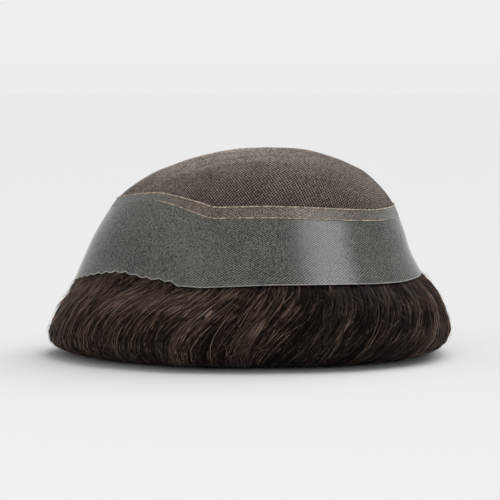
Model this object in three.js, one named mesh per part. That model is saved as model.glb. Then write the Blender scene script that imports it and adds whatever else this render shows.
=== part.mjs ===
// A toupee hairpiece with its scalp side turned out, set down on its own hair: a fine lace crown,
// the folded hem that joins it to a clear poly band with a scalloped front edge, the hair that lies
// behind them, and the hair that hangs from the band and rolls out under its rim.
// Millimetres, +Z up, the front of the piece towards -X.
import * as THREE from "three";

// Driving sizes
const rimLength = 189.6; // the base at its lowest level, front to back
const rimWidth = 142; // and side to side
const rimHeight = 38; // how high the hair holds that level above the surface
const capHeight = 72.4; // from that level to the top of the crown
const frontSquareness = 2; // 2 is an oval; more fills out the corners
const backSquareness = 2.35;
const laceWall = 1; // the crown's lace
const polyWall = 1; // the clear band
const hemWall = 1.3; // the lace folded double where it meets the band
const hemWidth = 5.4;
const clearance = 0.3; // between neighbouring pieces
const rootClearance = 1; // between the roots of the roll and the hair that ends above them
const scallopPitch = 7; // along the front edge, from notch to notch
const scallopDepth = 1.2;
const scallopSpread = 66; // degrees from the middle of the front to the temple corner
const liningDepth = 5; // the hair that lies against the inside of the base
const rootLap = 10; // how far up behind the band the roll's hair is rooted
const bulgeDepth = 14.5; // how far the hair roll stands out past the rim
const tuckDepth = 28; // how far its ends turn in under the rim
const lockDepth = 2.4; // from the back of a lock to the furrow beside it
const lockCount = 33; // locks round the roll
const crownLockCount = 15; // locks behind the base
const lockSweep = 0.5; // radians that a lock is combed round between rim and surface
const sweepOnset = 1.3; // 1 sweeps evenly; more sweeps most near the surface
const lockUnevenness = 0.2; // how far a lock strays, as a share of its width and of its depth

// The mesh
const columnsPerLock = 4;
const columnsPerScallop = 4;
const plainRimColumns = 40;
const laceColumns = 64;
const hemColumns = 88;
const crownRows = 6;
const bandRows = 3;
const hemRows = 1;
const rootRows = 1;
const slopeStep = 0.004; // for slopes of the cap, in radians round and in climb

// The cap from its lowest level to its top. rise is a share of capHeight, front and back of half
// of rimLength, side of half of rimWidth. Where front and back add up to nothing, it closes.
const capSections = [
  { rise: 0.0, front: 1.0, back: 1.0, side: 1.0 },
  { rise: 0.215, front: 0.93, back: 0.911, side: 0.93 },
  { rise: 0.393, front: 0.863, back: 0.866, side: 0.865 },
  { rise: 0.571, front: 0.776, back: 0.811, side: 0.79 },
  { rise: 0.689, front: 0.691, back: 0.75, side: 0.71 },
  { rise: 0.808, front: 0.55, back: 0.657, side: 0.59 },
  { rise: 0.868, front: 0.438, back: 0.575, side: 0.5 },
  { rise: 0.927, front: 0.308, back: 0.466, side: 0.385 },
  { rise: 0.984, front: 0.1, back: 0.302, side: 0.205 },
  { rise: 1.0, front: -0.1, back: 0.1, side: 0.0 },
];

// The rim and the seam between band and crown, as shares of capHeight. along runs from the middle
// of the front at 0 to the temple corner at 1 and on to the middle of the back at 2. The rim lifts
// before the temples and drops to the corner where the scallops end.
const edgeLines = [
  { along: 0.0, rim: 0.035, seam: 0.619 },
  { along: 0.3, rim: 0.091, seam: 0.651 },
  { along: 0.62, rim: 0.146, seam: 0.683 },
  { along: 0.8, rim: 0.117, seam: 0.665 },
  { along: 0.92, rim: 0.101, seam: 0.641 },
  { along: 1.0, rim: 0.062, seam: 0.619 },
  { along: 1.05, rim: 0.053, seam: 0.596 },
  { along: 1.12, rim: 0.06, seam: 0.598 },
  { along: 1.25, rim: 0.071, seam: 0.602 },
  { along: 1.43, rim: 0.069, seam: 0.586 },
  { along: 1.65, rim: 0.054, seam: 0.562 },
  { along: 1.8, rim: 0.056, seam: 0.57 },
  { along: 2.0, rim: 0.056, seam: 0.578 },
];

// The hair roll from the rim, out and down to the surface. up is a share of the rim's height over
// the surface, front and back are shares of bulgeDepth measured out from the rim, and lock is how
// much of lockDepth shows there.
const rollOutside = [
  { up: 0.9, front: 0.076, back: 0.185, lock: 0.3 },
  { up: 0.79, front: 0.203, back: 0.479, lock: 0.7 },
  { up: 0.67, front: 0.534, back: 0.7, lock: 1.0 },
  { up: 0.56, front: 0.73, back: 0.823, lock: 1.0 },
  { up: 0.42, front: 0.876, back: 1.004, lock: 1.0 },
  { up: 0.25, front: 0.982, back: 1.04, lock: 1.0 },
  { up: 0.12, front: 0.911, back: 0.76, lock: 0.8 },
  { up: 0.03, front: 0.784, back: 0.602, lock: 0.5 },
  { up: 0.0, front: 0.45, back: 0.4, lock: 0.0 },
];

// And back up inside, where tuck is a share of tuckDepth measured in from the rim.
const rollInside = [
  { up: 0.0, tuck: 0.62, lock: 0.0 },
  { up: 0.06, tuck: 0.87, lock: -0.4 },
  { up: 0.22, tuck: 1.0, lock: -0.7 },
  { up: 0.45, tuck: 0.83, lock: -0.7 },
  { up: 0.7, tuck: 0.55, lock: -0.5 },
  { up: 0.9, tuck: 0.35, lock: -0.3 },
];

// Reads a column of a table at any place, as a smooth curve through its rows.
function readTable(rows, key, place, column, level = false) {
  const last = rows.length - 1;
  const found = rows.findIndex((row) => row[key] > place);
  const next = found < 0 ? last : Math.max(found, 1);
  const [from, to] = [rows[next - 1], rows[next]];
  const slope = (low, high) => {
    if (level && (low < 0 || high > last)) return 0;
    const [a, b] = [rows[Math.max(low, 0)], rows[Math.min(high, last)]];
    return (b[column] - a[column]) / (b[key] - a[key]);
  };
  const span = to[key] - from[key];
  const t = (place - from[key]) / span;
  const start = slope(next - 2, next) * span;
  const end = slope(next - 1, next + 1) * span;
  const gain = to[column] - from[column];
  return from[column] + t * (start + t * (3 * gain - 2 * start - end + t * (start + end - 2 * gain)));
}

const capRows = capSections.map((row, index) => ({ ...row, climb: index / (capSections.length - 1) }));
const capColumn = (column, climb) => readTable(capRows, "climb", climb, column);

// Where a turn falls in edgeLines, alike on both sides.
function alongEdge(turn) {
  const degrees = THREE.MathUtils.radToDeg(Math.acos(-Math.cos(turn)));
  if (degrees <= scallopSpread) return degrees / scallopSpread;
  return 1 + (degrees - scallopSpread) / (180 - scallopSpread);
}

// A point of the cap's outer surface. turn goes round from the back, climb from the lowest level
// at 0 to the top at 1.
function capPoint(turn, climb) {
  const front = (capColumn("front", climb) * rimLength) / 2;
  const back = (capColumn("back", climb) * rimLength) / 2;
  const side = (capColumn("side", climb) * rimWidth) / 2;
  const [cosine, sine] = [Math.cos(turn), Math.sin(turn)];
  const square = THREE.MathUtils.lerp(frontSquareness, backSquareness, (1 + cosine) / 2);
  const fill = (Math.abs(cosine) ** square + Math.abs(sine) ** square) ** (-1 / square);
  return new THREE.Vector3(
    (back - front) / 2 + ((back + front) / 2) * cosine * fill,
    side * sine * fill,
    rimHeight + capHeight * capColumn("rise", climb),
  );
}

function capNormal(turn, climb) {
  const level = Math.min(climb, 1 - 2 * slopeStep);
  const round = capPoint(turn + slopeStep, level).sub(capPoint(turn - slopeStep, level));
  const up = capPoint(turn, level + slopeStep).sub(capPoint(turn, level - slopeStep));
  return round.cross(up).normalize();
}

// A point at a depth under the cap's outer surface.
function underCap(turn, climb, depth) {
  if (climb >= 1) return capPoint(turn, 1).setZ(rimHeight + capHeight - depth);
  return capPoint(turn, climb).addScaledVector(capNormal(turn, climb), -depth);
}

// The climb at which the cap has a given share of its height.
function climbAtRise(rise) {
  const halvings = 40;
  let [low, high] = [0, 1];
  for (let pass = 0; pass < halvings; pass += 1) {
    const middle = (low + high) / 2;
    if (capColumn("rise", middle) < rise) low = middle;
    else high = middle;
  }
  return low;
}

const edgeClimb = (turn, line) =>
  climbAtRise(readTable(edgeLines, "along", alongEdge(turn), line, true));

// The climb that lies a distance below another, measured down the cap.
function climbBelow(turn, climb, distance) {
  const speed = capPoint(turn, climb).distanceTo(capPoint(turn, climb - slopeStep)) / slopeStep;
  return climb - distance / speed;
}

// Turns that cut a stretch of the rim into equal lengths.
function turnsAlongRim(from, to, count) {
  const samples = 360;
  const lengths = [0];
  let before = null;
  for (let index = 0; index <= samples; index += 1) {
    const turn = from + ((to - from) * index) / samples;
    const point = capPoint(turn, edgeClimb(turn, "rim"));
    if (before) lengths.push(lengths[index - 1] + point.distanceTo(before));
    before = point;
  }
  const total = lengths[samples];
  const turns = [];
  for (let index = 0; index < count(total); index += 1) {
    const wanted = (total * index) / count(total);
    const next = Math.max(lengths.findIndex((length) => length > wanted), 1);
    const share = (wanted - lengths[next - 1]) / (lengths[next] - lengths[next - 1]);
    turns.push(from + ((to - from) * (next - 1 + share)) / samples);
  }
  return turns;
}

const evenTurns = (count) => Array.from({ length: count }, (_, index) => (2 * Math.PI * index) / count);

// Skins columns of points into a closed solid. Each column runs down the outside and up the
// inside. With poles its first and last points are shared by all; without, it closes on itself.
function skinColumns(columns, poles) {
  const rows = columns[0].length;
  const points = [];
  const faces = [];
  const at = (column, row) => {
    const wrapped = column % columns.length;
    if (poles && row === 0) return 0;
    if (poles && row === rows - 1) return 1;
    return poles ? 2 + wrapped * (rows - 2) + row - 1 : wrapped * rows + (row % rows);
  };
  if (poles) points.push(columns[0][0], columns[0][rows - 1]);
  columns.forEach((column) => points.push(...(poles ? column.slice(1, -1) : column)));
  for (let column = 0; column < columns.length; column += 1) {
    for (let row = 0; row < (poles ? rows - 1 : rows); row += 1) {
      const [a, b] = [at(column, row), at(column, row + 1)];
      const [d, c] = [at(column + 1, row), at(column + 1, row + 1)];
      if (b !== c) faces.push(a, b, c);
      if (a !== d) faces.push(a, c, d);
    }
  }
  const geometry = new THREE.BufferGeometry().setFromPoints(points);
  geometry.setIndex(faces);
  geometry.computeVertexNormals();
  return geometry;
}

// Evenly spaced climbs from a higher to a lower one.
const climbsDown = (top, bottom, steps) =>
  Array.from({ length: steps + 1 }, (_, index) => top + ((bottom - top) * index) / steps);

// A wall that follows the cap between two climbs, open at both edges.
function bandColumn(turn, top, bottom, steps, outerDepth, innerDepth) {
  const climbs = climbsDown(top, bottom, steps);
  return [
    ...climbs.map((climb) => underCap(turn, climb, outerDepth)),
    ...climbs.reverse().map((climb) => underCap(turn, climb, innerDepth)),
  ];
}

// The seam is the hem's upper edge.
const seamClimb = (turn) => edgeClimb(turn, "seam");
const hemFootClimb = (turn) => climbBelow(turn, seamClimb(turn), hemWidth);

function laceCrown() {
  const columns = evenTurns(laceColumns).map((turn) => {
    const foot = climbBelow(turn, seamClimb(turn), -clearance);
    return bandColumn(turn, 1, foot, crownRows, 0, laceWall);
  });
  return skinColumns(columns, true);
}

function foldedHem() {
  const proud = hemWall - polyWall;
  const columns = evenTurns(hemColumns).map((turn) =>
    bandColumn(turn, seamClimb(turn), hemFootClimb(turn), hemRows, -proud, polyWall),
  );
  return skinColumns(columns, false);
}

function polyBand() {
  const corner = THREE.MathUtils.degToRad(scallopSpread);
  const [start, end] = [Math.PI - corner, Math.PI + corner];
  const scallops = (length) => Math.round(length / scallopPitch) * columnsPerScallop;
  const frontTurns = turnsAlongRim(start, end, scallops);
  const plainTurns = turnsAlongRim(end, start + 2 * Math.PI, () => plainRimColumns);
  const column = (turn, dip) => {
    const top = climbBelow(turn, hemFootClimb(turn), clearance);
    const bottom = climbBelow(turn, edgeClimb(turn, "rim"), dip);
    return bandColumn(turn, top, bottom, bandRows, 0, polyWall);
  };
  const scallopDip = (index) => scallopDepth * Math.abs(Math.sin((Math.PI * index) / columnsPerScallop));
  return skinColumns(
    [
      ...frontTurns.map((turn, index) => column(turn, scallopDip(index))),
      ...plainTurns.map((turn) => column(turn, 0)),
    ],
    false,
  );
}

// The columns of locks of uneven width and depth: the turn of each, and how far it stands over the
// middle of a lock's depth, as a share of that depth.
function lockColumns(locks) {
  const stray = (number) => lockUnevenness * Math.sin(2.4 * (number % locks));
  return Array.from({ length: locks * columnsPerLock }, (_, index) => {
    const lock = Math.floor(index / columnsPerLock);
    const within = (index % columnsPerLock) / columnsPerLock;
    const place = lock + THREE.MathUtils.lerp(stray(lock), 1 + stray(lock + 1), within);
    const fullness = 1 - lockUnevenness + stray(3 * lock);
    const height = (Math.sin(Math.PI * within) - 1 / 2) * fullness;
    return { turn: (2 * Math.PI * place) / locks, height };
  });
}

// Where the hair behind the base ends and the roll's roots begin.
const rootClimb = (turn) => climbBelow(turn, edgeClimb(turn, "rim"), -rootLap);

// The hair behind the base: it lies against crown, hem and band, with its locks towards the hollow.
function crownHair() {
  const outerDepth = laceWall + clearance;
  const fade = 3; // the locks run out a third of the climb below the top
  const columns = lockColumns(crownLockCount).map(({ turn, height }) => {
    const foot = climbBelow(turn, rootClimb(turn), -rootClearance);
    const climbs = [
      ...climbsDown(1, climbBelow(turn, seamClimb(turn), -clearance), crownRows),
      ...climbsDown(hemFootClimb(turn), foot, bandRows),
    ];
    const lock = (climb) => height * lockDepth * Math.min(1, fade * (1 - climb));
    const depthAt = (climb) => outerDepth + liningDepth + lock(climb);
    return [
      ...climbs.map((climb) => underCap(turn, climb, outerDepth)),
      ...[...climbs].reverse().map((climb) => underCap(turn, climb, depthAt(climb))),
    ];
  });
  return skinColumns(columns, true);
}

// The hair along the rim: its roots behind the band, then the roll that the piece stands on.
function perimeterHair() {
  const outerDepth = polyWall + clearance;
  const innerDepth = outerDepth + liningDepth;
  const combed = (turn, up) => turn - lockSweep * (1 - up) ** sweepOnset;
  const rollPoint = (turn, height, row, reachOf) => {
    const swept = combed(turn, row.up);
    const climb = edgeClimb(swept, "rim");
    const rim = capPoint(swept, climb);
    const outward = capNormal(swept, climb).setZ(0).normalize();
    const reach = reachOf(row, (1 + Math.cos(swept)) / 2) + height * row.lock * lockDepth;
    return rim.clone().addScaledVector(outward, reach).setZ(row.up * rim.z);
  };
  const reachOut = (row, backness) => bulgeDepth * THREE.MathUtils.lerp(row.front, row.back, backness);
  const reachIn = (row) => -tuckDepth * row.tuck;
  const columns = lockColumns(lockCount).map(({ turn, height }) => {
    const top = rootClimb(turn);
    const rim = edgeClimb(turn, "rim");
    const neck = climbBelow(turn, rim, scallopDepth + clearance);
    return [
      ...climbsDown(top, neck, rootRows).map((climb) => underCap(turn, climb, outerDepth)),
      ...rollOutside.map((row) => rollPoint(turn, height, row, reachOut)),
      ...rollInside.map((row) => rollPoint(turn, height, row, reachIn)),
      ...climbsDown(rim, top, rootRows).map((climb) => underCap(turn, climb, innerDepth)),
    ];
  });
  return skinColumns(columns, false);
}

function piece(name, geometry, color, roughness) {
  const material = new THREE.MeshStandardMaterial({ color, roughness, metalness: 0 });
  const mesh = new THREE.Mesh(geometry, material);
  mesh.name = name;
  return mesh;
}

const toupee = new THREE.Group();
toupee.add(
  piece("lace_crown", laceCrown(), 0x5e5148, 0.8),
  piece("folded_hem", foldedHem(), 0x7a6c58, 0.7),
  piece("poly_band", polyBand(), 0x6a6d68, 0.3),
  piece("crown_hair", crownHair(), 0x2b211c, 0.5),
  piece("perimeter_hair", perimeterHair(), 0x2b211c, 0.5),
);

// The origin is under the middle of the whole piece, on the surface that it stands on.
const box = new THREE.Box3().setFromObject(toupee);
const middle = box.getCenter(new THREE.Vector3());
toupee.position.set(-middle.x, -middle.y, -box.min.z);

export default toupee;
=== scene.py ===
# The looks of a toupee hairpiece that stands on its own hair with its scalp side turned out:
# a lace net crown, the folded hem under it, a clear poly band with a scalloped front rim, and
# the brown hair that hangs from the band and rolls under. Metres, +Z up, front towards -X.
import math

import bpy
import numpy as np
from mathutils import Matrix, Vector


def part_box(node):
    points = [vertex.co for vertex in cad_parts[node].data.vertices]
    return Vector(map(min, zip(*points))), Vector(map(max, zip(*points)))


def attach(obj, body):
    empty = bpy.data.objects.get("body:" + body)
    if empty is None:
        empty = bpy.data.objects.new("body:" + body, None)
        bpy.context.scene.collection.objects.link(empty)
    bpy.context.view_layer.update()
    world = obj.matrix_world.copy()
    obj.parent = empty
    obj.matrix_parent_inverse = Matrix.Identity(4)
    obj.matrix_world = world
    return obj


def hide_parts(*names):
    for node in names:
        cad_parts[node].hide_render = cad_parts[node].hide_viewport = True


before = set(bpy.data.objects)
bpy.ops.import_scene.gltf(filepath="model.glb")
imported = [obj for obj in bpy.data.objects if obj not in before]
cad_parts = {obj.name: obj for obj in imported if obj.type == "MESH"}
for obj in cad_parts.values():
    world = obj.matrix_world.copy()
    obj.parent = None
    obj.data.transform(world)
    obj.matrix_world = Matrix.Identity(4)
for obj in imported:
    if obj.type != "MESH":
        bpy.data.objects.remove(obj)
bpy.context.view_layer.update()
bpy.ops.object.select_all(action="DESELECT")
bpy.context.scene.view_settings.view_transform = "Standard"
mm = 0.001

# The base that every piece follows: the solids' own sizes, but for the temple corner, which is
# 3 degrees further back, and the rim at the back, which is a little higher
base = {
    "rimLength": 189.6 * mm,
    "rimWidth": 142 * mm,
    "rimHeight": 38 * mm,
    "capHeight": 72.4 * mm,
    "frontSquareness": 2.0,
    "backSquareness": 2.35,
    "hemWidth": 5.4 * mm,
    "scallopSpread": 69.0,  # degrees from the middle of the front to the temple corner
    "slopeStep": 0.004,
}

# Levels of the cap, evenly spaced in climb: rise as a share of capHeight, front and back of half
# of rimLength, side of half of rimWidth
capRise = [0, 0.215, 0.393, 0.571, 0.689, 0.808, 0.868, 0.927, 0.984, 1]
capFront = [1, 0.93, 0.863, 0.776, 0.691, 0.55, 0.438, 0.308, 0.1, -0.1]
capBack = [1, 0.911, 0.866, 0.811, 0.75, 0.657, 0.575, 0.466, 0.302, 0.1]
capSide = [1, 0.93, 0.865, 0.79, 0.71, 0.59, 0.5, 0.385, 0.205, 0]
capClimb = np.linspace(0, 1, len(capRise))

# The rim and the seam from the middle of the front, 0, to the temple corner, 1, and the middle
# of the back, 2, as shares of capHeight
edgeAlong = [0, 0.3, 0.62, 0.8, 0.92, 1, 1.05, 1.12, 1.25, 1.43, 1.65, 1.8, 2]
rimRise = [0.035, 0.091, 0.146, 0.117, 0.101, 0.062, 0.053, 0.06, 0.071, 0.069, 0.06, 0.072, 0.088]
seamRise = [0.619, 0.651, 0.683, 0.665, 0.641, 0.619, 0.596, 0.598, 0.602, 0.586, 0.562, 0.57, 0.578]


def smoothThrough(places, values, at, level=False):
    # a smooth curve through a table's rows
    places, values = np.asarray(places, float), np.asarray(values, float)
    slopes = np.zeros(len(places))
    slopes[1:-1] = (values[2:] - values[:-2]) / (places[2:] - places[:-2])
    if not level:
        slopes[0] = (values[1] - values[0]) / (places[1] - places[0])
        slopes[-1] = (values[-1] - values[-2]) / (places[-1] - places[-2])
    row = np.clip(np.searchsorted(places, at, side="right") - 1, 0, len(places) - 2)
    span = places[row + 1] - places[row]
    t = (at - places[row]) / span
    start, end = slopes[row] * span, slopes[row + 1] * span
    gain = values[row + 1] - values[row]
    return values[row] + t * (start + t * (3 * gain - 2 * start - end + t * (start + end - 2 * gain)))


def capPoint(turn, climb):
    # turn goes round from the back, climb from the lowest level at 0 to the top at 1
    turn, climb = np.broadcast_arrays(np.asarray(turn, float), np.asarray(climb, float))
    front = smoothThrough(capClimb, capFront, climb) * base["rimLength"] / 2
    back = smoothThrough(capClimb, capBack, climb) * base["rimLength"] / 2
    side = smoothThrough(capClimb, capSide, climb) * base["rimWidth"] / 2
    c, s = np.cos(turn), np.sin(turn)
    square = base["frontSquareness"] + (base["backSquareness"] - base["frontSquareness"]) * (1 + c) / 2
    fill = (np.abs(c) ** square + np.abs(s) ** square) ** (-1 / square)
    x = (back - front) / 2 + (back + front) / 2 * c * fill
    z = base["rimHeight"] + base["capHeight"] * smoothThrough(capClimb, capRise, climb)
    return np.stack([x, side * s * fill, z], -1)


def unit(vectors):
    return vectors / np.maximum(np.linalg.norm(vectors, axis=-1, keepdims=True), 1e-12)


def capNormal(turn, climb):
    step = base["slopeStep"]
    level = np.minimum(climb, 1 - 2 * step)
    around = capPoint(turn + step, level) - capPoint(turn - step, level)
    up = capPoint(turn, level + step) - capPoint(turn, level - step)
    return unit(np.cross(around, up))


def underCap(turn, climb, depth):
    return capPoint(turn, climb) - capNormal(turn, climb) * np.expand_dims(depth, -1)


denseClimb = np.linspace(0, 1, 4001)
denseRise = smoothThrough(capClimb, capRise, denseClimb)


def edgeClimb(turn, rises):
    degrees = np.degrees(np.arccos(np.clip(-np.cos(turn), -1, 1)))
    spread = base["scallopSpread"]
    along = np.where(degrees <= spread, degrees / spread, 1 + (degrees - spread) / (180 - spread))
    return np.interp(smoothThrough(edgeAlong, rises, along, level=True), denseRise, denseClimb)


def climbBelow(turn, climb, distance):
    step = base["slopeStep"]
    speed = np.linalg.norm(capPoint(turn, climb) - capPoint(turn, climb - step), axis=-1) / step
    return climb - distance / speed


def seamClimb(turn):
    return edgeClimb(turn, seamRise)


def rimClimb(turn):
    return edgeClimb(turn, rimRise)


def hemFootClimb(turn):
    return climbBelow(turn, seamClimb(turn), base["hemWidth"])


# The solids stand centred on the origin, so the same shift brings the surfaces above onto them
everyTurn = np.linspace(0, 2 * math.pi, 720, endpoint=False)
hemLine = underCap(everyTurn, hemFootClimb(everyTurn), np.full(720, -0.3 * mm))
hemLow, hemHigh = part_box("folded_hem")
centring = np.array([(hemLow.x + hemHigh.x - hemLine[:, 0].max() - hemLine[:, 0].min()) / 2,
                     (hemLow.y + hemHigh.y) / 2, 0])
print("frame read, centring", centring)


def smoothShade(piece, degrees=50):
    bpy.ops.object.select_all(action="DESELECT")
    piece.select_set(True)
    bpy.context.view_layer.objects.active = piece
    bpy.ops.object.shade_smooth_by_angle(angle=math.radians(degrees))


def applyModifiers(piece):
    bpy.context.view_layer.objects.active = piece
    for modifier in list(piece.modifiers):
        bpy.ops.object.modifier_apply(modifier=modifier.name)


def setPoints(piece, points):
    piece.data.vertices.foreach_set("co", (points + centring).astype(np.float32).ravel())
    piece.data.update()


def getPoints(piece):
    flat = np.empty(len(piece.data.vertices) * 3, np.float32)
    piece.data.vertices.foreach_get("co", flat)
    return flat.reshape(-1, 3).astype(float)


def addMap(piece, name, values):
    layer = piece.data.uv_layers.new(name=name, do_init=False)
    layer.uv.foreach_set("vector", np.asarray(values, np.float32).ravel())
    return layer


def wrapSheet(name, columns, rows, place):
    # a flat grid wrapped round the cap: place turns shares across and down into points
    bpy.ops.mesh.primitive_grid_add(x_subdivisions=columns, y_subdivisions=rows, size=1, calc_uvs=True)
    piece = bpy.context.object
    piece.name = piece.data.name = name
    piece.data.uv_layers[0].name = "sheet"
    flat = getPoints(piece)
    setPoints(piece, place(flat[:, 0] + 0.5, flat[:, 1] + 0.5))
    bpy.ops.object.mode_set(mode="EDIT")
    bpy.ops.mesh.select_all(action="SELECT")
    bpy.ops.mesh.remove_doubles(threshold=1e-6)
    bpy.ops.mesh.normals_make_consistent(inside=False)
    bpy.ops.object.mode_set(mode="OBJECT")
    return piece


def turnOutward(piece):
    # an open sheet may come out of the recalculation facing its hollow
    points = getPoints(piece)
    normals = np.array([vertex.normal for vertex in piece.data.vertices])
    if (normals * (points - points.mean(0))).sum() < 0:
        piece.data.flip_normals()


# Materials


def newMaterial(name):
    material = bpy.data.materials.new(name)
    material.use_nodes = True
    return material, material.node_tree.nodes["Principled BSDF"]


def addNode(material, kind, inputs=None, **settings):
    node = material.node_tree.nodes.new(kind)
    for key, value in settings.items():
        setattr(node, key, value)
    for key, value in (inputs or {}).items():
        if isinstance(value, bpy.types.NodeSocket):
            material.node_tree.links.new(value, node.inputs[key])
        else:
            node.inputs[key].default_value = value
    return node


def maths(material, operation, *values, clamp=False):
    node = addNode(material, "ShaderNodeMath", dict(enumerate(values)), operation=operation, use_clamp=clamp)
    return node.outputs[0]


def mapPoint(material, name, scale=(1, 1, 1)):
    source = addNode(material, "ShaderNodeUVMap", uv_map=name)
    mapping = addNode(material, "ShaderNodeMapping", {"Vector": source.outputs[0], "Scale": scale})
    return mapping.outputs[0]


def noise(material, vector, scale, detail=2.0, roughness=0.5):
    inputs = {"Vector": vector, "Scale": scale, "Detail": detail, "Roughness": roughness}
    return addNode(material, "ShaderNodeTexNoise", inputs).outputs["Fac"]


def ramp(material, value, stops):
    node = addNode(material, "ShaderNodeValToRGB", {"Fac": value})
    elements = node.color_ramp.elements
    while len(elements) < len(stops):
        elements.new(0.5)
    for element, (place, colour) in zip(elements, stops):
        element.position = place
        element.color = (*colour, 1) if len(colour) == 3 else (colour[0], colour[0], colour[0], 1)
    return node.outputs["Color"]


def mixColours(material, share, first, second, blend="MIX"):
    node = addNode(material, "ShaderNodeMix", data_type="RGBA", blend_type=blend)
    for socket, value in zip((node.inputs[0], node.inputs[6], node.inputs[7]), (share, first, second)):
        if isinstance(value, bpy.types.NodeSocket):
            material.node_tree.links.new(value, socket)
        else:
            socket.default_value = value if isinstance(value, (int, float)) else (*value, 1)
    return node.outputs[2]


def bump(material, height, strength, distance):
    inputs = {"Height": height, "Strength": strength, "Distance": distance}
    return addNode(material, "ShaderNodeBump", inputs).outputs[0]


def link(material, socket, target):
    material.node_tree.links.new(socket, target)


def setShader(shader, **values):
    for key, value in values.items():
        socket = shader.inputs[key.replace("_", " ")]
        socket.default_value = (*value, 1) if isinstance(value, tuple) else value


def weaveHeight(material, point, acrossCount, downCount):
    # two crossing sets of threads, each from -1 between them to 1 on top
    parts = addNode(material, "ShaderNodeSeparateXYZ", {"Vector": point})
    across = maths(material, "MULTIPLY", parts.outputs[0], acrossCount * 2 * math.pi)
    down = maths(material, "MULTIPLY", parts.outputs[1], downCount * 2 * math.pi)
    falling = maths(material, "SINE", maths(material, "ADD", across, down))
    rising = maths(material, "SINE", maths(material, "SUBTRACT", across, down))
    return falling, rising


# Lace crown: a net of crossing threads laid over the dark hair

lace = {
    "pitch": 1.2 * mm,
    "threadRadius": 0.12 * mm,
    "lean": 57.0,  # degrees between a thread and the line from front to back
    "depths": (0.25 * mm, 0.5 * mm),  # the two sets of threads, under the cap's surface
    "ringSpacing": 2.0 * mm,
    "underHem": 1.0 * mm,
    "colour": ((0.12, 0.094, 0.077), (0.74, 0.61, 0.52)),
    "sheenHalf": 31 * mm,  # painted sheen: the threads drawn lighter in a strip along the middle of the crown, where the light from above glances off the net
    "sheenColour": (0.97, 0.865, 0.775),
    "roughness": 0.7,
}


toneSteps = 48  # a strand's map lies in one of these columns, the lighter the further right


def hairPattern(rings, sides=3):
    # one closed prism along Z, cut into rings; every strand and thread is a bent copy of it
    bpy.ops.mesh.primitive_cylinder_add(vertices=sides, radius=1, depth=rings - 1, end_fill_type="NGON")
    pattern = bpy.context.object
    if rings > 2:
        bpy.ops.object.mode_set(mode="EDIT")
        bpy.ops.mesh.select_all(action="DESELECT")
        bpy.ops.object.mode_set(mode="OBJECT")
        points = pattern.data.vertices
        for edge in pattern.data.edges:
            low, high = (points[index].co.z for index in edge.vertices)
            edge.select = abs(low - high) > 0.5
        bpy.ops.object.mode_set(mode="EDIT")
        bpy.ops.mesh.select_mode(type="EDGE")
        bpy.ops.mesh.subdivide(number_cuts=rings - 2)
        bpy.ops.mesh.select_all(action="SELECT")
        bpy.ops.mesh.normals_make_consistent(inside=False)
        bpy.ops.object.mode_set(mode="OBJECT")
    points = getPoints(pattern)
    faces = [list(face.vertices) for face in pattern.data.polygons]
    bpy.data.meshes.remove(pattern.data)
    ring = np.rint(points[:, 2] + (rings - 1) / 2).astype(int)
    angle = np.arctan2(points[:, 1], points[:, 0])
    return ring, angle, faces


def ownCells(maps):
    # gives every copy a square of its own on one map
    side = math.ceil(math.sqrt(sum(len(cells) for cells in maps)))
    placed, first = [], 0
    for cells in maps:
        number = first + np.arange(len(cells))
        corner = np.stack([number % side, number // side], -1)[:, None]
        placed.append(((corner + 0.06 + 0.88 * cells) / side).reshape(-1, 2))
        first += len(cells)
    return np.concatenate(placed)


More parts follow.
